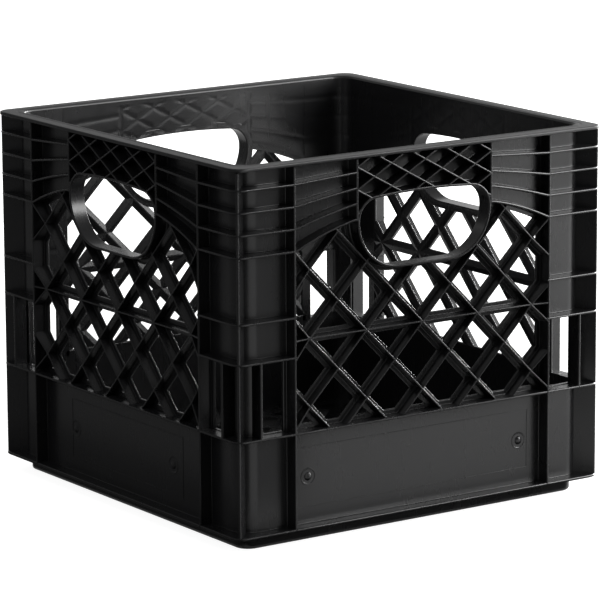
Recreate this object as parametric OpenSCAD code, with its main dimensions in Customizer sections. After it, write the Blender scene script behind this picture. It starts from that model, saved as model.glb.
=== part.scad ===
// Open-topped stacking crate in moulded plastic: four ribbed walls with a hand hole and a
// lattice in each, ribbed corner columns, a grid floor and a foot that nests in the rim below.
// The walls are alike. Each piece is drawn once, on the front wall or the front left corner,
// and turned about the crate's axis. Millimetres, +Z up, origin under the middle of the foot.

/* [Overall] */
// Width and depth over the rim
crate_w = 330; // [300:2:360]
// Height from the foot to the top of the rim
crate_h = 280; // [256:2:310]
// Outer corner radius of the rim
rim_corner_r = 10; // [8:0.5:12]

/* [Wall] */
// Thickness of the wall's skin
skin_t = 2.5; // [2:0.1:3]
// How far the ribs stand out of the skin
rib_h = 10; // [8:0.5:11]
// Thickness of the main ribs
rib_t = 2.2; // [1.8:0.1:2.6]
// Chamfer along the tips of the ribs
tip_c = 0.5; // [0.2:0.1:0.8]
// Outer radius of the skin round a corner
skin_corner_r = 15; // [12:0.5:17]

/* [Rim] */
// Thickness of the rim's flange
rim_t = 2.7; // [2.2:0.1:3.4]
// How far the rim stands proud of the ribs
rim_proud = 0.5; // [0.2:0.1:1]
// Rounding of the rim's inner edge
rim_edge_r = 2.2; // [1:0.1:2.2]

/* [Corner columns] */
// From the crate's side to the middle of the column's upright rib
column_w = 50.7; // [47:0.5:54]
// Spacing of the ribs under the rim
rib_pitch = 16; // [14:0.5:17]
// Number of ribs under the rim
rib_count = 4; // [3:1:4]
// Height of the single rib above the slots
column_rib_z = 168; // [160:1:180]
// Height of the rib over the slots
slot_top_z = 139; // [130:1:148]
// Width of the slots
slot_w = 23.9; // [18:0.1:25]
// Strip of skin between the upright rib and a slot
slot_strip = 3.3; // [2:0.1:5]

/* [Base] */
// Height of the shelf between the lattice and the base panel
shelf_z = 83; // [76:1:88]
// Height of the foot
foot_h = 11; // [8:0.5:13]
// Gap all round between the foot and the wall that it nests in
nest_gap = 0.8; // [0.5:0.1:1.5]
// Thickness of the foot's wall
foot_t = 3.5; // [3:0.1:4.5]
// Outer corner radius of the foot
foot_corner_r = 11.5; // [10:0.5:14]
// Rounding of the foot's lower edge
foot_edge_r = 2.2; // [1:0.1:2.4]

/* [Hand hole] */
// Width of the hole
hole_w = 115.6; // [106:0.2:118]
// From the top of the crate down to the hole's widest line
hole_below_top = 49; // [46:0.5:54]
// From the widest line down to the hole's lower edge
hole_drop = 34.9; // [30:0.1:38]
// Radius of the hole's upper corners
hole_top_r = 16; // [13:0.5:18]
// Rise of the hole's upper edge from its corners to its middle
hole_arch = 1.7; // [1:0.1:2.5]
// Thickness of the ring round the hole
ring_t = 2.2; // [1.8:0.1:2.6]

/* [Grip panel] */
// Thickness of the quilted ribs
quilt_t = 1.8; // [1.4:0.1:2.2]
// Width of a quilt diamond
quilt_x = 30; // [26:1:34]
// Height of a quilt diamond
quilt_z = 16.5; // [14:0.5:20]
// From the top of the crate down to a crossing row of the quilt
quilt_below_top = 25.5; // [22:0.5:30]

/* [Shoulders] */
// From the top of the crate to the first rib, at the grip
shoulder_first = 12.9; // [11:0.1:14]
// Spacing of the shoulder ribs at the grip
shoulder_pitch = 11.3; // [10:0.1:11.5]
// Rise of the lowest shoulder rib's curve over its chord
shoulder_sag = 1.9; // [0.5:0.1:3]

/* [Lattice] */
// Number of diamonds side by side from column to column
diamond_count = 4.53; // [4.2:0.01:4.9]
// Number of diamonds from the shelf up to the level rib
lattice_below = 1.33; // [1.2:0.01:1.45]
// From the hole's widest line down to the lattice's top crossing row
lattice_drop = 4.8; // [4:0.1:8]
// Thickness of the lattice ribs
bar_t = 2.2; // [1.8:0.1:2.6]
// Width of the flat inner straps behind the ribs
strap_w = 9; // [7:0.5:11]
// How far the lattice ribs lie behind the main ribs' tips
lattice_set_back = 3; // [2:0.5:5]
// Length of the ramps that lead the lattice ribs out to the columns
ramp_l = 13; // [6:0.5:16]

/* [Floor] */
// Diagonal size of a floor diamond
floor_pitch = 50; // [44:1:60]
// Solid border round the floor's grid
floor_border = 8; // [5:1:14]
// Clearance under the floor's ribs
floor_lift = 1; // [0.5:0.1:3]

/* [Hidden] */
half = crate_w / 2;
tip_d = rim_proud;                      // depth of the rib tips behind the rim's edge
tip_corner_r = rim_corner_r - rim_proud;
skin_d = tip_d + rib_h;                 // depth of the skin's outer face
wall_d = skin_d + skin_t;               // depth of the wall's inner face
wall_corner_r = skin_corner_r - skin_t;
column_end = column_w + rib_t / 2;      // inner side of the upright rib, from the crate's side
span = half - column_end;               // half the clear width between two columns
foot_d = wall_d + nest_gap;
foot_in_d = foot_d + foot_t;
rim_z = crate_h - rim_t;                // underside of the rim
shelf_top = shelf_z + rib_t / 2;
slot_z = slot_top_z - rib_t / 2;        // upper end of the slots
slot_end = column_w - rib_t / 2 - slot_strip;
slot_start = slot_end - slot_w;
hole_mid_z = crate_h - hole_below_top;
hole_lower_x = hole_w / 2 - hole_drop;  // middles of the hole's lower corner arcs
hole_upper_x = hole_w / 2 - hole_top_r;
hole_top_z = hole_mid_z + hole_top_r;
arch_r = (hole_upper_x * hole_upper_x + hole_arch * hole_arch) / (2 * hole_arch);
grip_out = hole_w / 2 + ring_t + rib_t / 2;
lattice_w = 2 * span / diamond_count;  // width and height of a lattice diamond
lattice_h = (hole_mid_z - lattice_drop - shelf_top) / (lattice_below + 1.5);
lattice_z = shelf_top + lattice_below * lattice_h;
wing_z = lattice_z + lattice_h;         // crossing row where the lattice's wings begin
eps = 1;                                // overshoot of cutting shapes
$fn = 96;

SIDES = ["front", "right", "rear", "left"];
CORNERS = ["front_left", "front_right", "rear_right", "rear_left"];
SIDE_PARTS = ["rim", "grip_panel", "handle_ring", "shoulder_a", "shoulder_b", "lattice",
              "lattice_wing_a", "lattice_wing_b", "base_panel", "foot"];
CORNER_PARTS = ["column", "slot_pillar", "column_base"];

// ---- frames -------------------------------------------------------------------------------

// A flat shape drawn on the front wall as (x, height) fills the wall from depth d0 to d1.
module in_wall(d0, d1)
    translate([0, d1 - half, 0]) rotate([90, 0, 0]) linear_extrude(d1 - d0) children();

// A section drawn as (depth, height) runs along the front wall from x0 to x1.
module along_wall(x0, x1)
    translate([x0, -half, 0]) rotate([90, 0, 90]) linear_extrude(x1 - x0) children();

// Moves the front left corner's own frame, with its origin on the corner, into place.
module at_corner() translate([-half, -half, 0]) children();

// Draws a leg of the corner along x, and its twin along y.
module both_legs() {
    children();
    mirror([1, -1, 0]) children();
}

// ---- sections and plans -------------------------------------------------------------------

// Section of a level rib from depth d0 to d1, with its tip chamfered.
module rib_section(z, t, d0, d1)
    translate([0, z]) polygon([
        [d0, tip_c - t / 2], [d0 + tip_c, -t / 2], [d1, -t / 2],
        [d1, t / 2], [d0 + tip_c, t / 2], [d0, t / 2 - tip_c]]);

// Plan of everything deeper than d inside the corner, as far as reach, with corner radius r.
module corner_plan(d, r, reach) {
    translate([d + r, d]) square([reach - d - r, reach - d]);
    translate([d, d + r]) square([r, reach - d - r]);
    translate([d + r, d + r]) intersection() {
        circle(r);
        translate([-r, -r]) square(r);
    }
}

// Plan of the corner between two depths.
module corner_band(d0, r0, d1, r1)
    difference() {
        corner_plan(d0, r0, column_end);
        corner_plan(d1, r1, column_end + eps);
    }

// Level plate round the corner from depth d0 to d1, with its outer edge chamfered.
module corner_plate(z, t, d0, r0, d1, r1) {
    translate([0, 0, z - t / 2]) linear_extrude(t) corner_band(d0 + tip_c, r0 - tip_c, d1, r1);
    both_legs()
        translate([d0 + r0, 0, 0]) rotate([90, 0, 90]) linear_extrude(column_end - d0 - r0)
            rib_section(z, t, d0, d0 + tip_c);
    translate([d0 + r0, d0 + r0, z]) rotate([0, 0, 180]) rotate_extrude(angle = 90)
        polygon([[r0 - tip_c, -t / 2], [r0, tip_c - t / 2], [r0, t / 2 - tip_c], [r0 - tip_c, t / 2]]);
}

// Upright rib of the corner's leg along x, between two heights, out to depth d1.
module upright_rib(u, z0, z1, d1)
    translate([u, 0, z0]) linear_extrude(z1 - z0) rotate(90) mirror([0, 1])
        rib_section(0, rib_t, tip_d, d1);

// Web across the corner from the skin's bend to the ribs' corner.
module corner_web(z0, z1) {
    web_start = (tip_d + tip_corner_r) * sqrt(2) - tip_corner_r + tip_c;
    web_end = (skin_d + skin_corner_r) * sqrt(2) - skin_corner_r + skin_t / 2;
    translate([0, 0, z0]) linear_extrude(z1 - z0) rotate(45)
        translate([web_start, -rib_t / 2]) square([web_end - web_start, rib_t]);
}

// Rows of diamonds, w wide and h high, that leave ribs of thickness t between them.
// A crossing of the ribs lies at x = 0 and height z, and cols and rows reach both ways.
module diamonds(w, h, t, z, cols, rows) {
    side = sqrt(w * w + h * h) / 2;
    k = 1 - t * side * 2 / (w * h);
    for (j = [-rows:rows]) for (i = [-cols:cols])
        translate([w * (i + (j % 2 == 0 ? 0.5 : 0)), z + j * h / 2])
            polygon([[-w * k / 2, 0], [0, -h * k / 2], [w * k / 2, 0], [0, h * k / 2]]);
}

// Outline of the hand hole, grown all round by g.
module hole_outline(g) {
    low = hole_drop + g;
    top = hole_top_r + g;
    for (s = [-1, 1]) {
        translate([s * hole_lower_x, hole_mid_z]) intersection() {
            circle(low);
            translate([s < 0 ? -low : 0, -low]) square(low);
        }
        translate([s * hole_upper_x, hole_mid_z]) intersection() {
            circle(top);
            translate([s < 0 ? -top : 0, 0]) square(top);
        }
    }
    translate([-hole_lower_x, hole_mid_z - low]) square([2 * hole_lower_x, low]);
    intersection() {
        translate([0, hole_top_z + hole_arch - arch_r]) circle(arch_r + g, $fn = 720);
        translate([-hole_upper_x, hole_mid_z]) square([2 * hole_upper_x, 2 * top]);
    }
}

// Height of shoulder rib k at share s of the way from the grip to the column.
function rib_at(k, s) =
    let (z0 = crate_h - shoulder_first - shoulder_pitch * (k - 1),
         z1 = crate_h - rib_pitch * k,
         bow = shoulder_sag * pow((k - 1) / max(1, rib_count - 1), 2))
    z0 + (z1 - z0) * s + 4 * bow * s * (1 - s);

// Points of shoulder rib k's line, moved by dz, from the grip to the column.
function rib_line(k, dz) =
    [for (s = [0:0.125:1]) [grip_out + (span - grip_out) * s, rib_at(k, s) + dz]];

function backwards(line) = [for (i = [len(line) - 1:-1:0]) line[i]];

// ---- corner pieces ------------------------------------------------------------------------

module column() {
    heights = concat([for (k = [1:rib_count]) crate_h - rib_pitch * k], [column_rib_z, slot_top_z]);
    at_corner() {
        for (z = heights) corner_plate(z, rib_t, tip_d, tip_corner_r, skin_d, skin_corner_r);
        translate([0, 0, slot_z]) linear_extrude(rim_z - slot_z)
            corner_band(skin_d, skin_corner_r, wall_d, wall_corner_r);
        both_legs() upright_rib(column_w, slot_z, rim_z, skin_d);
        corner_web(slot_z, rim_z);
        difference() {
            corner_plate(rim_z + rim_t / 2, rim_t, 0, rim_corner_r, wall_d, wall_corner_r);
            rim_corner_cut();
        }
    }
}

// Rounds the inner edge of the rim at a corner.
module rim_corner_cut() {
    bend = wall_d + wall_corner_r;
    both_legs()
        translate([bend, 0, 0]) rotate([90, 0, 90]) linear_extrude(column_end - bend + eps)
            translate([wall_d - rim_edge_r, crate_h - rim_edge_r]) edge_cut();
    translate([bend, bend, 0]) rotate([0, 0, 180]) rotate_extrude(angle = 90)
        translate([wall_corner_r + rim_edge_r, crate_h - rim_edge_r]) mirror([1, 0]) edge_cut();
}

// What a rounded edge leaves out of a square one, with an overshoot.
module edge_cut()
    difference() {
        square(rim_edge_r + eps);
        circle(rim_edge_r);
    }

module slot_pillar()
    at_corner() {
        z0 = shelf_top;
        z1 = slot_z;
        translate([0, 0, z0]) linear_extrude(z1 - z0) difference() {
            corner_band(skin_d, skin_corner_r, wall_d, wall_corner_r);
            both_legs() translate([slot_start, 0]) square([slot_w, wall_d + eps]);
        }
        both_legs() {
            upright_rib(column_w, z0, z1, skin_d);
            upright_rib(slot_start - rib_t / 2, z0, z1, wall_d);
        }
        corner_web(z0, z1);
    }

module column_base()
    at_corner() {
        corner_plate(shelf_z, rib_t, tip_d, tip_corner_r, skin_d, skin_corner_r);
        corner_plate(foot_h + rib_t / 2, rib_t, tip_d, tip_corner_r, foot_in_d, foot_corner_r - foot_t);
        translate([0, 0, foot_h]) linear_extrude(shelf_top - foot_h)
            corner_band(skin_d, skin_corner_r, wall_d, wall_corner_r);
        both_legs() upright_rib(column_w, foot_h, shelf_top, skin_d);
        corner_web(foot_h, shelf_top);
        bend = foot_d + foot_corner_r;
        both_legs()
            translate([bend, 0, 0]) rotate([90, 0, 90]) linear_extrude(column_end - bend)
                foot_section(foot_d);
        translate([bend, bend, 0]) rotate([0, 0, 180]) rotate_extrude(angle = 90)
            mirror([1, 0]) foot_section(-foot_corner_r);
    }

// Section of the foot's wall with its outer face at depth d.
module foot_section(d) {
    translate([d, foot_edge_r]) square([foot_t, foot_h - foot_edge_r]);
    translate([d + foot_edge_r, 0]) square([foot_t - foot_edge_r, foot_edge_r]);
    translate([d + foot_edge_r, foot_edge_r]) intersection() {
        circle(foot_edge_r);
        translate([-foot_edge_r, -foot_edge_r]) square(foot_edge_r);
    }
}

// ---- wall pieces --------------------------------------------------------------------------

module rim()
    along_wall(-span, span) difference() {
        rib_section(rim_z + rim_t / 2, rim_t, 0, wall_d);
        translate([wall_d - rim_edge_r, crate_h - rim_edge_r]) edge_cut();
    }

// Panel over the hand hole: closed skin, quilted ribs and an upright rib at each side.
module grip_panel() {
    foot_z = rib_at(rib_count, 0) - rib_t / 2;
    in_wall(skin_d, wall_d) difference() {
        translate([-grip_out, foot_z]) square([2 * grip_out, rim_z - foot_z]);
        hole_outline(ring_t);
    }
    in_wall(tip_d, skin_d) difference() {
        translate([-grip_out, foot_z]) square([2 * grip_out, rim_z - foot_z]);
        hole_outline(ring_t);
        intersection() {
            diamonds(quilt_x, quilt_z, quilt_t, crate_h - quilt_below_top,
                     ceil(grip_out / quilt_x), ceil(crate_h / quilt_z / 4));
            translate([rib_t - grip_out, foot_z - eps])
                square([2 * (grip_out - rib_t), rim_z - foot_z + 2 * eps]);
        }
    }
}

module handle_ring()
    in_wall(tip_d, wall_d) difference() {
        hole_outline(ring_t);
        hole_outline(0);
    }

// Closed panel between the grip and a column, with curved ribs.
module shoulder() {
    in_wall(skin_d, wall_d)
        polygon(concat([[span, rim_z], [grip_out, rim_z]], rib_line(rib_count, -rib_t / 2)));
    in_wall(tip_d, skin_d)
        for (k = [1:rib_count])
            polygon(concat(rib_line(k, -rib_t / 2), backwards(rib_line(k, rib_t / 2))));
}

// Ribs and inner straps of the lattice within the outline given as a child.
// The ribs run through the straps, and ramp out to the tips of the columns' ribs.
module lattice_within() {
    intersection() {
        in_wall(tip_d, wall_d) difference() {
            children();
            lattice_cells(bar_t);
        }
        linear_extrude(crate_h) polygon([
            [-span, tip_d - half], [ramp_l - span, tip_d + lattice_set_back - half],
            [span - ramp_l, tip_d + lattice_set_back - half], [span, tip_d - half],
            [span, wall_d - half], [-span, wall_d - half]]);
    }
    in_wall(skin_d, wall_d) difference() {
        children();
        intersection() {
            lattice_cells(strap_w);
            strap_frame();
        }
    }
}

// The lattice's openings between ribs or straps of thickness t.
module lattice_cells(t)
    difference() {
        diamonds(lattice_w, lattice_h, t, lattice_z,
                 ceil(span / lattice_w), ceil(crate_h / lattice_h) - 1);
        translate([-span - eps, lattice_z - t / 2]) square([2 * (span + eps), t]);
    }

// What the straps behind the columns' upright ribs, the shelf, the ring round the hole
// and the lowest shoulder ribs leave open.
module strap_frame() {
    clear_w = half - column_w - strap_w / 2;
    difference() {
        translate([-clear_w, shelf_z + strap_w / 2]) square([2 * clear_w, crate_h]);
        hole_outline((ring_t + strap_w) / 2);
        for (side = [0, 1]) mirror([side, 0])
            polygon(concat([[span + eps, crate_h], [0, crate_h], [0, hole_mid_z]],
                           rib_line(rib_count, -strap_w / 2)));
    }
}

module lattice()
    lattice_within() difference() {
        translate([-span, shelf_top]) square([2 * span, wing_z - shelf_top]);
        hole_outline(ring_t);
    }

// Lattice beside the hand hole, up to the lowest shoulder rib.
module lattice_wing()
    lattice_within() difference() {
        polygon(concat([[span, wing_z], [0, wing_z], [0, hole_mid_z]],
                       rib_line(rib_count, -rib_t / 2)));
        hole_outline(ring_t);
    }

// Closed panel under the lattice, with the shelf above it and the lip below.
module base_panel() {
    along_wall(-span, span) {
        rib_section(shelf_z, rib_t, tip_d, wall_d);
        rib_section(foot_h + rib_t / 2, rib_t, tip_d, foot_in_d);
        translate([skin_d, foot_h]) square([skin_t, shelf_top - foot_h]);
    }
}

module foot() along_wall(-span, span) foot_section(foot_d);

// ---- floor --------------------------------------------------------------------------------

// Plan of the floor inside the foot's wall, taken in by d.
module floor_plan(d) {
    w = half - foot_in_d - d;
    r = max(1, foot_corner_r - foot_t - d);
    square([2 * w, 2 * (w - r)], center = true);
    square([2 * (w - r), 2 * w], center = true);
    for (x = [-1, 1]) for (y = [-1, 1]) translate([x * (w - r), y * (w - r)]) circle(r);
}

module floor_diamonds(t)
    intersection() {
        floor_plan(floor_border);
        diamonds(floor_pitch, floor_pitch, t, 0,
                 ceil(half / floor_pitch), ceil(crate_w / floor_pitch));
    }

module floor_grid() {
    translate([0, 0, foot_h]) linear_extrude(rib_t) difference() {
        floor_plan(0);
        floor_diamonds(strap_w);
    }
    translate([0, 0, floor_lift]) linear_extrude(foot_h - floor_lift) difference() {
        floor_plan(0);
        diamonds(floor_pitch, floor_pitch, bar_t, 0,
                 ceil(half / floor_pitch), ceil(crate_w / floor_pitch));
    }
}

// ---- assembly -----------------------------------------------------------------------------

module side_part(p) {
    if (p == "rim") color("#1c1d1f") rim();
    if (p == "grip_panel") color("#17181a") grip_panel();
    if (p == "handle_ring") color("#202124") handle_ring();
    if (p == "shoulder_a") color("#191a1c") mirror([1, 0, 0]) shoulder();
    if (p == "shoulder_b") color("#191a1c") shoulder();
    if (p == "lattice") color("#151617") lattice();
    if (p == "lattice_wing_a") color("#151617") mirror([1, 0, 0]) lattice_wing();
    if (p == "lattice_wing_b") color("#151617") lattice_wing();
    if (p == "base_panel") color("#1a1b1d") base_panel();
    if (p == "foot") color("#141516") foot();
}

module corner_part(p) {
    if (p == "column") color("#1b1c1e") column();
    if (p == "slot_pillar") color("#18191b") slot_pillar();
    if (p == "column_base") color("#1b1c1e") column_base();
}

for (i = [0:3]) {
    for (p = SIDE_PARTS)
        rotate([0, 0, 90 * i]) side_part(p);
    for (p = CORNER_PARTS)
        rotate([0, 0, 90 * i]) corner_part(p);
}
color("#161719") floor_grid();
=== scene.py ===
import math

import bmesh
import bpy
import numpy as np
from mathutils import Matrix, Vector


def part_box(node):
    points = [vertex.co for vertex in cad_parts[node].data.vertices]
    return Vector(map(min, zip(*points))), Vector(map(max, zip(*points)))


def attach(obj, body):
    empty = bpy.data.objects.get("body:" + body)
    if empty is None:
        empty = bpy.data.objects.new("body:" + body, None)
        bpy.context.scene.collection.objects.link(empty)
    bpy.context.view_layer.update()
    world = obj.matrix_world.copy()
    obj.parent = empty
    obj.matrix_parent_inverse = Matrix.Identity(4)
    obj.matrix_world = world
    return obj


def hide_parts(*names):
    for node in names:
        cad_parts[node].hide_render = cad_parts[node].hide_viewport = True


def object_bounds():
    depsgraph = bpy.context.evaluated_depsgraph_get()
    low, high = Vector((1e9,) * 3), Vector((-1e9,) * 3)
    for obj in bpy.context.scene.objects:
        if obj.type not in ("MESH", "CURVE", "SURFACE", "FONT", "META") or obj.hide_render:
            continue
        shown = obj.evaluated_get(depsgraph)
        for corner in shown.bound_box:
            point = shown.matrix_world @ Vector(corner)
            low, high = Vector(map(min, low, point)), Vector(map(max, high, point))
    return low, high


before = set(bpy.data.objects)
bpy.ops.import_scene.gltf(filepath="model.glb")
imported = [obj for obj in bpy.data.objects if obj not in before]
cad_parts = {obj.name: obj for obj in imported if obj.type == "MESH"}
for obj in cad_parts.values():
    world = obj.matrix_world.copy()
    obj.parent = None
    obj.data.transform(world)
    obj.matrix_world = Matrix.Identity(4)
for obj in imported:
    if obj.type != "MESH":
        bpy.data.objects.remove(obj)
cadLow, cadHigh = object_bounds()
print("frame loaded:", len(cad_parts), "nodes")


# --- shader maths: + - * on a node's output write Math nodes -------------------------------

class Sock:
    def __init__(self, mat, out):
        self.mat, self.out = mat, out

    def math(self, operation, *others):
        return self.mat.make("ShaderNodeMath", {"operation": operation}, self, *others)

    def __add__(self, other): return self.math("ADD", other)
    def __sub__(self, other): return self.math("SUBTRACT", other)
    def __mul__(self, other): return self.math("MULTIPLY", other)


class Maker:
    # puts nodes into one tree; settings first, then inputs by position and by socket name
    def __init__(self, tree):
        self.tree = tree
        self.tree.nodes.clear()

    def make(self, kind, settings=None, *inputs, out=0, **named):
        node = self.tree.nodes.new(kind)
        for key, value in (settings or {}).items():
            setattr(node, key, value)
        places = list(enumerate(inputs)) + [(k.replace("_", " "), v) for k, v in named.items()]
        for place, value in places:
            if isinstance(value, Sock):
                self.tree.links.new(value.out, node.inputs[place])
            elif value is not None:
                node.inputs[place].default_value = value
        return Sock(self, node.outputs[out]) if len(node.outputs) else None


def newMaterial(name):
    material = bpy.data.materials.new(name)
    material.use_nodes = True
    return material, Maker(material.node_tree)


# --- camera -------------------------------------------------------------------------------

cameraSettings = dict(azimuth=-34.611, elevation=11.843, roll=-0.305, lens=235.2, sensor=36,
                      distance=2.981, target=(0.0020, -0.0015, 0.1394), clip=(0.1, 60))


def addCamera(settings):
    az, el = math.radians(settings["azimuth"]), math.radians(settings["elevation"])
    back = Vector((math.sin(az) * math.cos(el), -math.cos(az) * math.cos(el), math.sin(el)))
    right = (-back).cross(Vector((0, 0, 1))).normalized()
    above = right.cross(-back)
    roll = math.radians(settings["roll"])
    side = right * math.cos(roll) + above * math.sin(roll)
    up = above * math.cos(roll) - right * math.sin(roll)
    data = bpy.data.cameras.new("studioCamera")
    data.lens, data.sensor_width = settings["lens"], settings["sensor"]
    data.clip_start, data.clip_end = settings["clip"]
    cam = bpy.data.objects.new("studioCamera", data)
    bpy.context.scene.collection.objects.link(cam)
    place = Vector(settings["target"]) + back * settings["distance"]
    cam.matrix_world = Matrix.Translation(place) @ Matrix((side, up, back)).transposed().to_4x4()
    bpy.context.scene.camera = cam


# --- plastic ------------------------------------------------------------------------------

plastic = dict(colour=(0.0037, 0.0037, 0.0040, 1), dustier=1.25, roughness=0.27,
               rimWear=0.28, wearFrom=0.278, wearTo=0.2795,
               cloud=0.08, cloudScale=16.0, streak=0.05, streakScale=130.0, streakStretch=0.12,
               grainScale=1500.0, grainDepth=0.000012, waveScale=55.0, waveDepth=0.00002,
               peelScale=420.0, peelDepth=0.000022)


def blackPlastic(name, s):
    material, mat = newMaterial(name)
    where = mat.make("ShaderNodeTexCoord", out=3)
    cloud = mat.make("ShaderNodeTexNoise", {}, Vector=where, Scale=s["cloudScale"], Detail=3.0)
    tall = mat.make("ShaderNodeMapping", {}, Vector=where, Scale=(1.0, 1.0, s["streakStretch"]))
    streak = mat.make("ShaderNodeTexNoise", {}, Vector=tall, Scale=s["streakScale"], Detail=3.0)
    grain = mat.make("ShaderNodeTexNoise", {}, Vector=where, Scale=s["grainScale"], Detail=2.0)
    wave = mat.make("ShaderNodeTexNoise", {}, Vector=where, Scale=s["waveScale"], Detail=1.0)
    peel = mat.make("ShaderNodeTexNoise", {}, Vector=where, Scale=s["peelScale"], Detail=1.0)
    height = grain * s["grainDepth"] + wave * s["waveDepth"] + peel * s["peelDepth"]
    bump = mat.make("ShaderNodeBump", {}, Strength=1.0, Distance=1.0, Height=height)
    # the rim's top, where crates rub on one another, is duller than the rest
    level = mat.make("ShaderNodeSeparateXYZ", {}, where, out=2)
    worn = mat.make("ShaderNodeMapRange", {}, level, s["wearFrom"], s["wearTo"], 0.0, s["rimWear"])
    rough = (cloud - 0.5) * s["cloud"] + (streak - 0.5) * s["streak"] + s["roughness"] + worn
    lighter = tuple(s["dustier"] * c for c in s["colour"][:3]) + (1,)
    dusty = mat.make("ShaderNodeMix", {"data_type": "RGBA"}, cloud, *[None] * 5,
                     s["colour"], lighter, out=2)
    skin = mat.make("ShaderNodeBsdfPrincipled", {}, Base_Color=dusty, Roughness=rough,
                    Normal=bump, IOR=1.5)
    mat.make("ShaderNodeOutputMaterial", {}, skin)
    return material


# --- sizes in millimetres -----------------------------------------------------------------
# A wall is drawn as the front one: x along it, depth inwards from the rim's edge, height z.
# A corner is drawn as the front left one: u and v from the crate's two sides.

millimetre = 0.001
sharpAngle = 38                                             # degrees; a larger bend shades hard
half, top = cadHigh[0] / millimetre, cadHigh[2] / millimetre
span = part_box("front_rim")[1][0] / millimetre               # half the clear width between columns
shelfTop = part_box("front_base_panel")[1][2] / millimetre
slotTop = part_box("front_left_slot_pillar")[1][2] / millimetre
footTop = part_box("front_foot")[1][2] / millimetre

wall = dict(tip=0.5, skin=10.5, inner=13.0, rib=2.2, flare=0.45, skinTop=275.6,
            tipCentre=10.0, skinCentre=25.5, sink=0.20, sinkWide=2.0)
halfRib = wall["rib"] / 2
shelf = shelfTop - halfRib
columnLine = span + halfRib                                 # middle of a column's upright rib


# --- outlines and surfaces ----------------------------------------------------------------

def softOutline(corners, steps=4, hold=0.04):
    # closed outline; each corner (across, depth, radius) gives way to an arc tangent to both its
    # sides: centre + (start sin((1 - t) a) + end sin(t a)) / sin(a) over the arc's angle a, with
    # a point just before and after it so that the flat sides shade flat
    points = np.array([c[:2] for c in corners], float)
    out = []
    for i, corner in enumerate(corners):
        here, radius = points[i], corner[2]
        if radius == 0:
            out.append(here[None])
            continue
        a, b = points[i - 1] - here, points[(i + 1) % len(points)] - here
        a, b = a / np.linalg.norm(a), b / np.linalg.norm(b)
        bend = math.acos(float(a @ b)) / 2
        reach = radius / math.tan(bend)
        centre = here + (a + b) / np.linalg.norm(a + b) * radius / math.sin(bend)
        start, end, angle = here + a * reach - centre, here + b * reach - centre, math.pi - 2 * bend
        t = np.linspace(0, 1, steps + 1)[:, None]
        arc = centre + (np.sin((1 - t) * angle) * start + np.sin(t * angle) * end) / math.sin(angle)
        out += [(here + a * (reach + hold))[None], arc, (here + b * (reach + hold))[None]]
    return np.concatenate(out)


def ribOutline(halfTip=0.88, halfRoot=1.15, flare=wall["flare"], sunk=0.7):
    # upright rib with a round tip that widens to its root and flares onto the skin there
    tip, root, foot = wall["tip"], wall["skin"], halfRoot + flare + 0.01
    side = [(halfTip, tip, halfTip - 0.06), (halfRoot, root, flare), (foot, root, 0),
            (foot, root + sunk, 0)]
    return softOutline([(-a, d, r) for a, d, r in side[::-1]] + side)


def boxOutline(a0, a1, d0, d1, radii):
    # box from a0 to a1 across and d0 to d1 deep, its corners rounded in turn from (a0, d0)
    places = [(a0, d0), (a1, d0), (a1, d1), (a0, d1)]
    return softOutline([(a, d, r) for (a, d), r in zip(places, radii)], steps=3)


class Moulding:
    # gathers closed surfaces, each a grid of stations by points round its outline
    def __init__(self):
        self.points, self.faces, self.total = [], [], 0

    def addTube(self, grid, ring=False):
        # four-sided faces between neighbours on the grid, and a lid on each end of an open tube
        stations, around = grid.shape[:2]
        index = np.arange(stations * around).reshape(stations, around) + self.total
        here, ahead = (index, np.roll(index, -1, 0)) if ring else (index[:-1], index[1:])
        quads = np.stack([here, np.roll(here, -1, 1), np.roll(ahead, -1, 1), ahead], -1)
        self.faces += quads.reshape(-1, 4).tolist()
        if not ring:
            self.faces += [index[0, ::-1].tolist(), index[-1].tolist()]
        self.points.append(grid.reshape(-1, 3))
        self.total += stations * around

    def addMirrored(self, grid, ring=False):
        self.addTube(grid * (-1, 1, 1), ring)


def slab(front, back):
    # closed plate between two grids of the same size
    return np.concatenate([front, back[:, ::-1]], axis=1)


def alongLine(start, end, outline):
    # the outline carried straight from start to end: start + t (end - start) + across * normal
    start, end = np.array(start, float), np.array(end, float)
    way = (end - start) / np.linalg.norm(end - start)
    normal = np.array([-way[1], way[0]])
    t = np.array([0.0, 1.0])[:, None, None]
    flat = start + t * (end - start) + outline[None, :, :1] * normal
    depth = np.broadcast_to(outline[None, :, 1], flat.shape[:2])
    return np.stack([flat[..., 0], depth, flat[..., 1]], -1)


def alongCurve(x, z, outline):
    # the outline carried along a curve z(x), moved straight up and down across it
    depth = np.broadcast_to(outline[:, 1], (len(x), len(outline)))
    return np.stack([np.broadcast_to(x[:, None], depth.shape), depth,
                     z[:, None] + outline[:, 0]], -1)


def planCorner(depth, legEnd, near, far, atNear, atFar, arcSteps=12):
    # lines at these depths round the corner: straight legs, and arcs whose centre c slides from
    # near to far as the depth goes from atNear to atFar: (c - r sin p, c - r cos p), r = c - depth
    depth = np.atleast_1d(np.asarray(depth, float))
    c = near + (far - near) * np.clip((depth - atNear) / (atFar - atNear), 0, 1)
    r = c - depth
    t = np.array([0, 0.5, 0.97])[:, None]
    leg = np.stack([legEnd + (c - legEnd) * t, np.broadcast_to(depth, (3, len(depth)))], -1)
    p = np.linspace(0, math.pi / 2, arcSteps + 1)[:, None]
    arc = np.stack([c - r * np.sin(p), c - r * np.cos(p)], -1)
    return np.concatenate([leg, arc, leg[::-1, :, ::-1]])


def wallCorner(depth, legEnd):
    return planCorner(depth, legEnd, wall["tipCentre"], wall["skinCentre"],
                      wall["tip"], wall["skin"])


def roundCorner(plan, height):
    # plan points with their heights, moved from the corner's own frame onto the front wall's
    z = np.broadcast_to(height, plan.shape[:2])
    return np.stack([plan[..., 0] - half, plan[..., 1], z], -1)


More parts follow.
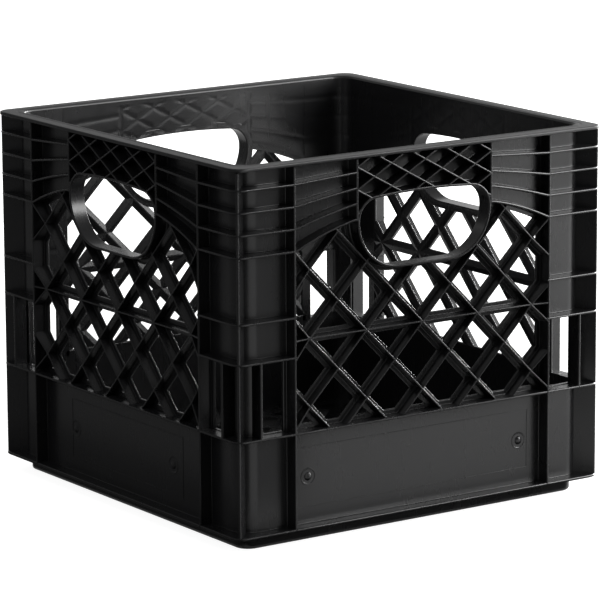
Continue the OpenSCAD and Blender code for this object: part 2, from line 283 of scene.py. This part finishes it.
def wholeRing(outline, near, far, atNear, atFar):
    # the outline (height, depth) carried round all four corners, each a turn from the last
    plan = planCorner(outline[:, 1], half, near, far, atNear, atFar)[:-1]
    quarter = roundCorner(plan, outline[:, 0])
    x, y, z = quarter[..., 0], quarter[..., 1] - half, quarter[..., 2]
    turns = [(x, y), (y, -x), (-x, -y), (-y, x)]
    return np.concatenate([np.stack([a, b + half, z], -1) for a, b in turns])


def placePiece(name, form, turn, nodes):
    # turned about the crate's axis into place, scaled to metres, faces pointing outwards
    points = np.concatenate(form.points)
    x, y = points[:, 0], points[:, 1] - half
    c, s = ((1, 0), (0, 1), (-1, 0), (0, -1))[turn]
    placed = np.stack([x * c - y * s, x * s + y * c, points[:, 2]], 1) * millimetre
    mesh = bpy.data.meshes.new(name)
    mesh.from_pydata(placed.tolist(), [], form.faces)
    work = bmesh.new()
    work.from_mesh(mesh)
    bmesh.ops.recalc_face_normals(work, faces=work.faces)
    work.to_mesh(mesh)
    work.free()
    mesh.polygons.foreach_set("use_smooth", np.ones(len(mesh.polygons), bool))
    mesh.set_sharp_from_angle(angle=math.radians(sharpAngle))
    mesh.materials.append(black)
    piece = bpy.data.objects.new(name, mesh)
    bpy.context.scene.collection.objects.link(piece)
    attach(piece, "root")
    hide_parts(*nodes)


# --- hand hole ----------------------------------------------------------------------------

hole = dict(wide=115.6, middle=top - 49, drop=34.9, topRound=16.0, arch=1.7, ring=2.2, flange=5.6)
holeLow = hole["wide"] / 2 - hole["drop"]                   # middles of the lower and upper arcs
holeHigh = hole["wide"] / 2 - hole["topRound"]
archRadius = (holeHigh ** 2 + hole["arch"] ** 2) / (2 * hole["arch"])
archMiddle = hole["middle"] + hole["topRound"] + hole["arch"] - archRadius
gripOut = hole["wide"] / 2 + hole["ring"] + halfRib


def holeGap(x, z):
    # distance outside the hole's edge: to a rounded slot below, to corner arcs and an arch above
    x, z = np.abs(x), z - hole["middle"]
    low = np.hypot(np.maximum(x - holeLow, 0), z) - hole["drop"]
    corner = np.hypot(np.maximum(x - holeHigh, 0), z) - hole["topRound"]
    arch = np.hypot(x, z + hole["middle"] - archMiddle) - archRadius
    return np.where(z < 0, low, np.where(x > holeHigh, corner, arch))


def holePath():
    # points and outward normals round the hole, from the middle of its lower edge
    def arcPart(cx, cz, radius, a0, a1, count):
        a = np.radians(np.linspace(a0, a1, count))
        way = np.stack([np.cos(a), np.sin(a)], -1)
        return np.array([cx, cz]) + radius * way, way
    lean = math.degrees(math.asin(holeHigh / archRadius))
    parts = [arcPart(holeLow, hole["middle"], hole["drop"], -90, 0, 19),
             arcPart(holeHigh, hole["middle"], hole["topRound"], 4, 88, 13),
             arcPart(0, archMiddle, archRadius, 90 - lean * 0.97, 90 + lean * 0.97, 9),
             arcPart(-holeHigh, hole["middle"], hole["topRound"], 92, 176, 13),
             arcPart(-holeLow, hole["middle"], hole["drop"], 180, 270, 19)]
    return np.concatenate([p for p, n in parts]), np.concatenate([n for p, n in parts])


def handleRing():
    # ring round the hole with a flange behind it that carries the lattice's straps
    form = Moulding()
    points, normals = holePath()
    wide, inner = hole["ring"], wall["inner"]
    outline = softOutline([(0, wall["tip"], 0.8), (wide - 0.3, wall["tip"], 0.8),
                           (wide, wall["skin"] + 0.03, 1.3),
                           (hole["flange"], wall["skin"] + 0.03, 0.5),
                           (hole["flange"], inner - 0.08, 0.6), (1.5, inner - 0.08, 0),
                           (1.2, inner, 0), (0, inner, 0.6)])
    flat = points[:, None] + outline[None, :, :1] * normals[:, None]
    depth = np.broadcast_to(outline[:, 1], flat.shape[:2])
    form.addTube(np.stack([flat[..., 0], depth, flat[..., 1]], -1), ring=True)
    return form


# --- bars cut to a region -----------------------------------------------------------------

# a strand's end is sought this far from the middle's, at this many places; and a line is walked
# to this distance in this step, with stretches under the shortest left out
cut = dict(seek=14, places=225, far=400, step=0.25, shortest=2.0)


def strandEnds(base, way, across, guess, region):
    # where each strand of a bar crosses the region's border, nearest to the middle's crossing
    shift = np.linspace(-cut["seek"], cut["seek"], cut["places"])
    s = guess + shift
    normal = np.array([-way[1], way[0]])
    x = base[0] + s * way[0] + across[:, None] * normal[0]
    z = base[1] + s * way[1] + across[:, None] * normal[1]
    value = region(x, z)
    change = (value[:, 1:] > 0) != (value[:, :-1] > 0)
    cost = np.where(change, np.abs(shift[1:] + shift[:-1]), 1e9)
    pick, rows = cost.argmin(1), np.arange(len(across))
    v0, v1 = value[rows, pick], value[rows, pick + 1]
    exact = s[pick] + (s[1] - s[0]) * v0 / np.where(v0 == v1, 1, v0 - v1)
    return np.where(cost.min(1) < 1e8, exact, guess)


def addBars(form, lines, outline, region, tipAt=None):
    # each line's stretches inside the region, as bars whose strands end on its border;
    # tipAt(x) moves the rib's tip in depth, and less and less towards its root
    for base, way in lines:
        base, way = np.array(base, float), np.array(way, float) / np.linalg.norm(way)
        s = np.arange(-cut["far"], cut["far"], cut["step"])
        inside = region(base[0] + s * way[0], base[1] + s * way[1]) > 0
        flips = np.flatnonzero(inside[1:] != inside[:-1])
        for first, last in zip(flips[::2], flips[1::2]):
            if s[last] - s[first] < cut["shortest"]:
                continue
            s0 = strandEnds(base, way, outline[:, 0], s[first], region)
            s1 = strandEnds(base, way, outline[:, 0], s[last], region)
            share = np.array([0, 1.0])
            if tipAt is not None and way[0] != 0:
                kinks = (np.array([-1, 1]) * (span - lattice["ramp"]) - base[0]) / way[0]
                kinks = (kinks - s[first]) / (s[last] - s[first])
                share = np.sort(np.concatenate([share, kinks[(kinks > 0.02) & (kinks < 0.98)]]))
            run = s0 + share[:, None] * (s1 - s0)
            normal = np.array([-way[1], way[0]])
            x = base[0] + run * way[0] + outline[:, 0] * normal[0]
            z = base[1] + run * way[1] + outline[:, 0] * normal[1]
            depth = np.broadcast_to(outline[:, 1], x.shape)
            if tipAt is not None:
                weight = np.clip((wall["skin"] - depth) / (wall["skin"] - lattice["tip"]), 0, 1)
                depth = depth + weight * (tipAt(x) - lattice["tip"])
            form.addTube(np.stack([x, depth, z], -1))


# --- lattice ------------------------------------------------------------------------------

lattice = dict(across=4.53, below=1.33, drop=4.8, tip=3.5, ramp=13.0, strap=9.0, rise=1.1,
               halfTip=0.62, halfRoot=1.3, count=4)
latticeWide = 2 * span / lattice["across"]
latticeTall = (hole["middle"] - lattice["drop"] - shelfTop) / (lattice["below"] + 1.5)
latticeLine = shelfTop + lattice["below"] * latticeTall      # the level rib runs here
shoulder = dict(first=12.9, pitch=11.3, sag=1.9, ribs=4, columnPitch=16.0, columns=61, rows=80)


def shoulderRib(k, x):
    # straight from the grip to the column with a parabola's rise on it: 4 bow s (1 - s)
    s = np.clip((np.abs(x) - gripOut) / (span - gripOut), 0, 1)
    z0 = top - shoulder["first"] - shoulder["pitch"] * (k - 1)
    z1 = top - shoulder["columnPitch"] * k
    bow = shoulder["sag"] * ((k - 1) / (shoulder["ribs"] - 1)) ** 2
    return z0 + (z1 - z0) * s + 4 * bow * s * (1 - s)


def latticeRegion(x, z):
    # positive between the columns' ribs, over the shelf, outside the ring, under the last rib
    sides = np.minimum(columnLine - np.abs(x), z - shelf)
    return np.minimum(np.minimum(sides, holeGap(x, z) - hole["ring"] / 2),
                      shoulderRib(shoulder["ribs"], x) - z)


def latticeTip(x):
    # depth of the ribs' tips, which ramps out to the columns' tips
    out = np.clip((np.abs(x) - (span - lattice["ramp"])) / lattice["ramp"], 0, 1)
    return lattice["tip"] + (wall["tip"] - lattice["tip"]) * out


def strapOutline(layer):
    # rib on a strap whose back rises to its middle; the layers differ by a hair so that no two
    # faces share a plane
    front, back, wide = wall["skin"] + layer, wall["inner"] - layer, lattice["strap"] / 2
    thin = lattice["halfTip"]
    side = [(thin, lattice["tip"], thin - 0.06), (lattice["halfRoot"], front, 0.5),
            (wide, front, 0.35), (wide, back - lattice["rise"], 0.35), (0.5, back, 2.0)]
    return softOutline([(-a, d, r) for a, d, r in side[::-1]] + side, steps=3)


def latticePanel():
    form = Moulding()
    steps = range(-lattice["count"], lattice["count"] + 1)
    slope = latticeTall / latticeWide
    for layer, sign in ((0.0, 1), (0.025, -1)):
        lines = [((i * latticeWide, latticeLine), (1, sign * slope)) for i in steps]
        addBars(form, lines, strapOutline(layer), latticeRegion, latticeTip)
    addBars(form, [((0, latticeLine), (1, 0))], strapOutline(0.05), latticeRegion, latticeTip)
    wide, layer = lattice["strap"] / 2, 0.04
    edge = boxOutline(0, wide, wall["skin"] + layer, wall["inner"] - layer, (0, 0.7, 0.8, 0))
    form.addTube(alongLine((-columnLine, shelf), (columnLine, shelf), edge))
    last = shoulderRib(shoulder["ribs"], np.array([columnLine]))[0]
    upright = alongLine((columnLine, shelf), (columnLine, last), edge)
    form.addTube(upright)
    form.addMirrored(upright)
    return form


# --- panels with ribs ---------------------------------------------------------------------

grip = dict(wide=30.0, tall=16.5, below=25.5, thick=1.8, count=5, columns=195, rows=72)
gripLine = top - grip["below"]


def sinkMark(distance):
    # the inner face draws in behind a rib: sink * exp(-(distance / width)^2)
    return wall["sink"] * np.exp(-(distance / wall["sinkWide"]) ** 2)


def gripRegion(x, z):
    # positive between the panel's side ribs, under the rim and outside the ring
    side = np.minimum(gripOut - halfRib - np.abs(x), z - hole["middle"] - 1)
    return np.minimum(np.minimum(side, wall["skinTop"] + 1 - z), holeGap(x, z) - hole["ring"] / 2)


def quiltDistance(x, z):
    # distance to the nearer of the two families of slanting ribs
    step = grip["wide"] * grip["tall"] / math.hypot(grip["wide"], grip["tall"])
    a, b = x / grip["wide"], (z - gripLine) / grip["tall"]
    near = [np.abs(v - np.round(v)) * step for v in (a + b, a - b)]
    return np.minimum(*near)


def gripPanel():
    # skin down to the ring's arch, or beside it to the height of the shoulders' last rib
    form = Moulding()
    x = np.linspace(-gripOut, gripOut, grip["columns"])
    inside = np.clip(np.abs(x), 0, gripOut - wall["rib"])
    ring = hole["ring"] / 2
    arch = archMiddle + np.sqrt((archRadius + ring) ** 2 - np.minimum(inside, holeHigh) ** 2)
    corner = hole["middle"] + np.sqrt(np.maximum(
        (hole["topRound"] + ring) ** 2 - np.maximum(inside - holeHigh, 0) ** 2, 0))
    foot = shoulderRib(shoulder["ribs"], np.array([gripOut]))[0]
    low = np.maximum(np.where(inside < holeHigh, arch, corner), foot)
    z = low[:, None] + (wall["skinTop"] - low[:, None]) * np.linspace(0, 1, grip["rows"])
    xs = np.broadcast_to(x[:, None], z.shape)
    front = np.stack([xs, np.full(z.shape, wall["skin"]), z], -1)
    sideRib = np.abs(gripOut - halfRib - np.abs(xs))
    sink = sinkMark(np.minimum(quiltDistance(xs, z), sideRib))
    fade = np.clip(holeGap(xs, z) / 2 - 0.5, 0, 1) * np.clip((wall["skinTop"] - z) / 2, 0, 1)
    back = np.stack([xs, wall["inner"] - sink * fade, z], -1)
    form.addTube(slab(front, back))
    slope = grip["tall"] / grip["wide"]
    thin = grip["thick"] / 2
    outline = ribOutline(thin - 0.25, thin + 0.1, 1.0)
    steps = range(-grip["count"], grip["count"] + 1)
    for sign in (1, -1):
        lines = [((i * grip["wide"], gripLine), (1, sign * slope)) for i in steps]
        addBars(form, lines, outline, gripRegion)
    side = gripOut - halfRib
    upright = alongLine((side, foot - halfRib), (side, wall["skinTop"] + 1), ribOutline())
    form.addTube(upright)
    form.addMirrored(upright)
    return form


def shoulderPanel(mirrored):
    # skin from the grip to the column, and half a strap under the last rib
    form = Moulding()
    add = form.addMirrored if mirrored else form.addTube
    x = np.linspace(gripOut, span, shoulder["columns"])
    low = shoulderRib(shoulder["ribs"], x) - lattice["strap"] / 2
    z = low[:, None] + (wall["skinTop"] - low[:, None]) * np.linspace(0, 1, shoulder["rows"])
    xs = np.broadcast_to(x[:, None], z.shape)
    near = [np.abs(z - shoulderRib(k, xs)) for k in range(1, shoulder["ribs"] + 1)]
    sink = sinkMark(np.min(near + [columnLine - xs, xs - gripOut + halfRib], axis=0))
    fade = np.clip((z - low[:, None]) / 2, 0, 1) * np.clip((wall["skinTop"] - z) / 2, 0, 1)
    add(slab(np.stack([xs, np.full(z.shape, wall["skin"]), z], -1),
             np.stack([xs, wall["inner"] - sink * fade, z], -1)))
    outline = ribOutline()
    x = np.linspace(gripOut - 1.0, columnLine, 22)
    for k in range(1, shoulder["ribs"] + 1):
        add(alongCurve(x, shoulderRib(k, x), outline))
    return form


base = dict(foot=11.0, inner=17.2, sunk=2.45, ridge=0.28)
# marks at (x, z), and the plate's outline from x0 to x1 and z0 to z1
longPlate = dict(marks=((-97.5, 48.0), (93.5, 47.0)), box=(-110.0, 101.5, 25.6, 69.8))
shortPlate = dict(marks=((-70.9, 46.9), (64.5, 46.3)), box=(-76.0, 77.5, 24.5, 69.5))
# a mark's radius and height, from its middle outwards
markDome = ((0.01, 1.5), (0.8, 1.42), (1.6, 1.2), (2.3, 0.85), (2.9, 0.4), (3.3, -0.15))
markGroove = ((3.45, -0.4), (3.6, -0.4), (4.6, -0.4), (5.0, -0.2))
markRing = ((5.4, 0.15), (5.8, 0.34), (6.1, 0.34), (6.4, 0.0), (6.4, -0.8), (0.01, -0.8))


def roundMark(form, x, z):
    # dome in a shallow raised ring, turned about its own axis: (r cos a, depth(r), r sin a)
    r, h = np.array(markDome + markGroove + markRing).T
    a = np.linspace(0, 2 * math.pi, 40, endpoint=False)[:, None]
    grid = np.stack([x + r * np.cos(a), np.broadcast_to(wall["skin"] - h, (len(a), len(r))),
                     z + r * np.sin(a)], -1)
    form.addTube(grid, ring=True)


def basePanel(plate):
    form = Moulding()
    low = base["foot"] + wall["rib"]
    x = np.array([-span, span])[:, None]
    z = np.array([low, shelf])[None]
    x, z = np.broadcast_arrays(x, z)
    form.addTube(slab(np.stack([x, np.full(x.shape, wall["skin"]), z], -1),
                      np.stack([x, np.full(x.shape, wall["inner"]), z], -1)))
    ends = np.array([-columnLine, columnLine])
    form.addTube(alongCurve(ends, np.full(2, shelf), ribOutline(sunk=base["sunk"])))
    form.addTube(alongCurve(ends, np.full(2, 0.0), lipOutline()))
    for mark in plate["marks"]:
        roundMark(form, *mark)
    x0, x1, z0, z1 = plate["box"]
    crest, root = wall["skin"] - base["ridge"], wall["skin"] + 0.5
    ridge = softOutline([(-0.3, crest, 0.12), (0.3, crest, 0.12), (0.5, root, 0), (-0.5, root, 0)],
                        steps=2, hold=0.02)
    turns = [(x0, z0), (x1, z0), (x1, z1), (x0, z1), (x0, z0)]
    for start, end in zip(turns, turns[1:]):
        form.addTube(alongLine(start, end, ridge))
    return form


def lipOutline():
    # lip over the foot, as (height, depth), flaring onto the skin above it
    low, high, inner = base["foot"], base["foot"] + wall["rib"], base["inner"]
    tip, skin, over = wall["tip"], wall["skin"], high + 0.6
    return softOutline([(low, tip, 0.9), (high, tip, 0.9), (high, skin, 0.5), (over, skin, 0),
                        (over, skin + 1.2, 0), (high, skin + 1.2, 0), (high, inner, 0),
                        (low, inner, 0)])


# --- corner columns -----------------------------------------------------------------------

column = dict(heights=(264.0, 248.0, 232.0, 216.0, 168.0, 139.0), slotFrom=22.4, slotTo=46.3,
              webFrom=4.72, webTo=22.0, row=0.8)
cornerEnd = half - span


def addCornerSkin(form, z0, z1, levels=()):
    # skin round the corner between two heights, drawn in behind its ribs
    z = np.linspace(z0, z1, max(2, int((z1 - z0) / column["row"])) if levels else 2)
    sink = np.zeros(len(z))
    if levels:
        near = np.min([np.abs(z - level) for level in levels], axis=0)
        sink = sinkMark(near) * np.clip((z - z0) / 2, 0, 1) * np.clip((z1 - z) / 2, 0, 1)
    front = roundCorner(wallCorner(np.full(len(z), wall["skin"]), cornerEnd), z)
    back = roundCorner(wallCorner(wall["inner"] - sink, cornerEnd), z)
    form.addTube(slab(front, back))


def addCornerRib(form, outline, z):
    # level rib round the corner
    form.addTube(roundCorner(wallCorner(outline[:, 1], cornerEnd), z + outline[:, 0]))


def addUprights(form, outline, u, z0, z1):
    # the same upright rib on both legs of the corner: at (u, depth) and at (depth, u)
    heights = np.array([z0, z1])[:, None]
    across, depth = np.broadcast_arrays(u + outline[:, 0], outline[:, 1])
    shape = (2, len(across))
    for a, b in ((across, depth), (depth, across)):
        plan = np.stack([np.broadcast_to(a, shape), np.broadcast_to(b, shape)], -1)
        form.addTube(roundCorner(plan, np.broadcast_to(heights, shape)))


def addWeb(form, z0, z1):
    # fin across the corner, on its diagonal: (along + across, along - across) / root 2
    outline = boxOutline(-halfRib, halfRib, column["webFrom"], column["webTo"], (0.95, 0.95, 0, 0))
    a, b = outline[:, 0] / math.sqrt(2), outline[:, 1] / math.sqrt(2)
    plan = np.broadcast_to(np.stack([b + a, b - a], -1), (2, len(a), 2))
    form.addTube(roundCorner(plan, np.array([z0, z1])[:, None]))


def columnTop():
    form = Moulding()
    addCornerSkin(form, slotTop, wall["skinTop"], column["heights"])
    rib = ribOutline()
    for z in column["heights"]:
        addCornerRib(form, rib, z)
    addUprights(form, rib, cornerEnd - halfRib, slotTop, wall["skinTop"] + 1)
    addWeb(form, slotTop, wall["skinTop"] + 1)
    return form


def slotPillar():
    # rounded skin and a rib at the slot's edge, then past the slot a strip by the upright rib
    form = Moulding()
    depth = np.repeat([wall["skin"], wall["inner"]], 2)
    z = np.array([shelfTop - 1, slotTop + 1, slotTop + 1, shelfTop - 1])
    c, radius = wall["skinCentre"], wall["skinCentre"] - depth
    start = np.arcsin((c - column["slotFrom"]) / radius)
    p = start + np.linspace(0, 1, 10)[:, None] * (math.pi / 2 - 2 * start)
    form.addTube(roundCorner(np.stack([c - radius * np.sin(p), c - radius * np.cos(p)], -1), z))
    rib = ribOutline()
    addUprights(form, rib, cornerEnd - halfRib, shelfTop, slotTop)
    addUprights(form, boxOutline(-halfRib, halfRib, wall["tip"], wall["inner"],
                                 (0.9, 0.9, 0.7, 0.7)),
                column["slotFrom"] - halfRib, shelfTop - 1, slotTop + 1)
    addUprights(form, boxOutline(column["slotTo"], cornerEnd, wall["skin"], wall["inner"],
                                 (0.8, 0, 0, 0.8)), 0, shelfTop - 1, slotTop + 1)
    addWeb(form, shelfTop, slotTop)
    return form


def columnBase():
    form = Moulding()
    addCornerSkin(form, base["foot"] + wall["rib"], shelf)
    addCornerRib(form, ribOutline(sunk=base["sunk"]), shelf)
    addCornerRib(form, lipOutline(), 0.0)
    addUprights(form, ribOutline(), cornerEnd - halfRib, base["foot"] + 1, shelfTop)
    addWeb(form, base["foot"] + 1, shelfTop)
    return form


# --- rim and foot -------------------------------------------------------------------------

rim = dict(thick=2.7, bead=1.6, groove=0.16)
foot = dict(outer=13.8, inner=17.3, centre=25.3, edge=2.1)


def rimRing():
    # flange with a rounded lip outside and a bead along its inner edge, as (height, depth)
    form = Moulding()
    low, deep = top - rim["thick"], wall["inner"]
    outline = softOutline([
        (low, 0.0, 0.5), (top - 0.12, 0.0, 0.9), (top - 0.05, 8.6, 0.5),
        (top - rim["groove"] - 0.12, 9.2, 0.3), (top, 10.3, 0.6), (top, deep, rim["bead"]),
        (wall["skinTop"], deep, 0), (wall["skinTop"], wall["skin"], 0), (low, wall["skin"], 1.4)],
        steps=5, hold=0.03)
    form.addTube(wholeRing(outline, wall["tipCentre"], wall["skinCentre"], 0.0, deep), ring=True)
    return form


def footRing():
    form = Moulding()
    outline = softOutline([(0.0, foot["outer"], foot["edge"]), (footTop + 0.3, foot["outer"], 0),
                           (footTop + 0.3, foot["inner"], 0), (0.0, foot["inner"], 0.9)], steps=5)
    form.addTube(wholeRing(outline, foot["centre"], foot["centre"], 0.0, 1.0), ring=True)
    return form


# --- studio -------------------------------------------------------------------------------

white = (1, 1, 1, 1)
studio = dict(fill=0.12, wallTop=0.26, ceiling=0.5, ceilingTone=0.1, sheet=9.0,
              floorMirrored=0.25, floorRough=0.8, floorShadedNear=0.26, floorAway=0.5,
              floorFrom=0.45, floorTo=1.1, glowNear=0.9, glowAway=1.0, glowFrom=0.3, glowTo=0.9)
# lamps: name, place, aim, width, height, watts, whether reflections see it
panels = (("mainPanel", (1.25, -0.90, 0.78), (0.0, 0.0, 0.14), 1.9, 0.9, 60, True),
          ("sidePanel", (1.75, 0.35, 0.50), (0.0, 0.0, 0.15), 1.3, 0.6, 78, True),
          ("topPanel", (-0.45, -0.35, 1.5), (0.0, 0.0, 0.1), 0.8, 0.8, 6, False),
          ("leftPanel", (-1.5, 0.1, 0.9), (0.0, 0.0, 0.12), 1.4, 1.0, 12, False))
# cards that only reflections see, painted reflections: the dark ones paint shade beside and under
# the crate into its reflections, the bright cornerCard a light patch; name, tone, corners
cards = (("leftCard", 0.15, (-0.25, -0.25, 0), (-0.25, 1.3, 0), (-0.25, 1.3, 0.42),
          (-0.25, -0.25, 0.42)),
         ("sideCard", 0.11, (-0.25, -0.25, 0), (-0.19, -0.25, 0), (-0.19, -0.25, 0.42),
          (-0.25, -0.25, 0.42)),
         ("cornerCard", 0.8, (-0.19, -0.25, 0), (-0.105, -0.25, 0), (-0.105, -0.25, 0.3),
          (-0.19, -0.25, 0.3)),
         ("frontCard", 0.27, (-0.105, -0.25, 0), (-0.045, -0.25, 0), (-0.02, -0.25, 0.3),
          (-0.105, -0.25, 0.3)),
         ("shoulderCard", 0.1, (-0.05, -0.249, 0.15), (0.01, -0.249, 0.15), (0.045, -0.249, 0.3),
          (-0.05, -0.249, 0.3)),
         ("latticeCard", 0.1, (-0.04, -0.248, 0.062), (0.18, -0.248, 0.062),
          (0.18, -0.248, 0.185), (-0.02, -0.248, 0.185)),
         ("quiltCard", 0.1, (0.003, -0.248, 0.185), (0.125, -0.248, 0.185), (0.125, -0.248, 0.3),
          (0.003, -0.248, 0.3)),
         ("leftGround", 0.05, (-1.6, -0.152, 0.002), (-0.152, -0.152, 0.002),
          (-0.152, 1.6, 0.002), (-1.6, 1.6, 0.002)),
         ("frontGround", 0.09, (-1.6, -1.6, 0.002), (-0.2, -1.6, 0.002), (-0.2, -0.152, 0.002),
          (-1.6, -0.152, 0.002)),
         # painted shadow: a dark strip under the foot's reflection
         ("footGround", 0.02, (-0.2, -0.2, 0.002), (0.165, -0.2, 0.002), (0.165, -0.152, 0.002),
          (-0.2, -0.152, 0.002)))


def addPanel(name, place, aim, width, height, watts, mirrored):
    data = bpy.data.lights.new(name, "AREA")
    data.shape = "RECTANGLE"
    data.size, data.size_y, data.energy = width, height, watts
    lamp = bpy.data.objects.new(name, data)
    bpy.context.scene.collection.objects.link(lamp)
    lamp.location = place
    lamp.rotation_mode = "QUATERNION"
    lamp.rotation_quaternion = (Vector(aim) - Vector(place)).to_track_quat("-Z", "Y")
    lamp.visible_camera = False
    lamp.visible_glossy = mirrored


def seenDirectly(mat, mirrored=1.0):
    # 1 for rays from the camera, a share for reflections and glass, 0 for light that falls on
    # things
    camera = mat.make("ShaderNodeLightPath")
    paths = camera.out.node.outputs
    glossy, glass = Sock(mat, paths["Is Glossy Ray"]), Sock(mat, paths["Is Transmission Ray"])
    return camera.math("MAXIMUM", glossy.math("MAXIMUM", glass) * mirrored)


def addSheet(name, places, material):
    mesh = bpy.data.meshes.new(name)
    mesh.from_pydata(places, [], [(0, 1, 2, 3)])
    sheet = bpy.data.objects.new(name, mesh)
    bpy.context.scene.collection.objects.link(sheet)
    mesh.materials.append(material)
    return sheet


def addStudio():
    world = bpy.data.worlds.new("studioWorld")
    bpy.context.scene.world = world
    world.use_nodes = True
    mat = Maker(world.node_tree)
    # a white backdrop stands all round, and the ceiling over it is dim
    way = mat.make("ShaderNodeTexCoord", out=0)
    height = mat.make("ShaderNodeSeparateXYZ", {}, way, out=2)
    backdrop = mat.make("ShaderNodeMapRange", {}, height, studio["wallTop"], studio["ceiling"],
                        1.0, studio["ceilingTone"])
    dim = mat.make("ShaderNodeBackground", {}, (studio["fill"],) * 3 + (1,))
    bright = mat.make("ShaderNodeBackground", {}, white)
    rays = seenDirectly(mat, backdrop)
    mat.make("ShaderNodeOutputWorld", {}, mat.make("ShaderNodeMixShader", {}, rays, dim, bright))
    # the floor's colour is darker close to the crate, painted shade that the crate's reflections
    # show, and it glows white for the rays that see it directly
    material, mat = newMaterial("paleFloor")
    where = mat.make("ShaderNodeTexCoord", out=3)
    away = mat.make("ShaderNodeVectorMath", {"operation": "LENGTH"}, where, out=1)
    # painted shade: the floor's colour falls towards the crate
    tone = mat.make("ShaderNodeMapRange", {}, away, studio["floorFrom"], studio["floorTo"],
                    studio["floorShadedNear"], studio["floorAway"])
    skin = mat.make("ShaderNodeBsdfPrincipled", {}, Base_Color=tone, Roughness=studio["floorRough"])
    rays = seenDirectly(mat, studio["floorMirrored"])
    reach = mat.make("ShaderNodeMapRange", {}, away, studio["glowFrom"], studio["glowTo"],
                     studio["glowNear"], studio["glowAway"])
    glow = mat.make("ShaderNodeEmission", {}, white, reach)
    both = mat.make("ShaderNodeAddShader", {}, skin, glow)
    mat.make("ShaderNodeOutputMaterial", {}, mat.make("ShaderNodeMixShader", {}, rays, skin, both))
    w = studio["sheet"]
    addSheet("floorSheet", [(-w, -w, 0), (w, -w, 0), (w, w, 0), (-w, w, 0)], material)
    # each card glows with its tone and is hidden from the camera, from diffuse light and from
    # shadows, so it only paints a dark or bright reflection
    for name, tone, *places in cards:
        material, mat = newMaterial(name)
        glow = mat.make("ShaderNodeEmission", {}, white, tone)
        mat.make("ShaderNodeOutputMaterial", {}, glow)
        card = addSheet(name, places, material)
        card.visible_camera = card.visible_shadow = card.visible_diffuse = False
    for settings in panels:
        addPanel(*settings)


# --- the crate ----------------------------------------------------------------------------

addCamera(cameraSettings)
addStudio()
black = blackPlastic("blackPlastic", plastic)
print("studio and plastic made")

sides = ("front", "right", "rear", "left")
cornerSides = (("front", "left"), ("front", "right"), ("rear", "right"), ("rear", "left"))
wallForms = {"GripPanel": (gripPanel(), ("grip_panel",)),
             "HandleRing": (handleRing(), ("handle_ring",)),
             "ShoulderA": (shoulderPanel(True), ("shoulder_a",)),
             "ShoulderB": (shoulderPanel(False), ("shoulder_b",)),
             "Lattice": (latticePanel(), ("lattice", "lattice_wing_a", "lattice_wing_b"))}
basePanels = (basePanel(longPlate), basePanel(shortPlate))
cornerForms = {"Column": (columnTop(), "column"), "SlotPillar": (slotPillar(), "slot_pillar"),
               "ColumnBase": (columnBase(), "column_base")}
print("wall and corner surfaces worked out")

for turn, side in enumerate(sides):
    for kind, (form, parts) in wallForms.items():
        placePiece(side + kind, form, turn, [side + "_" + part for part in parts])
    placePiece(side + "BasePanel", basePanels[turn % 2], turn, [side + "_base_panel"])
print("four walls placed")
for turn, (a, b) in enumerate(cornerSides):
    for kind, (form, part) in cornerForms.items():
        placePiece(a + b.title() + kind, form, turn, [a + "_" + b + "_" + part])
print("four corners placed")
placePiece("rimRing", rimRing(), 0, [side + "_rim" for side in sides])
placePiece("footRing", footRing(), 0, [side + "_foot" for side in sides])
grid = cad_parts["floor_grid"]
grid.data.materials.clear()
grid.data.materials.append(black)
print("rim, foot and floor in place")

bpy.context.scene.view_settings.view_transform = "Standard"
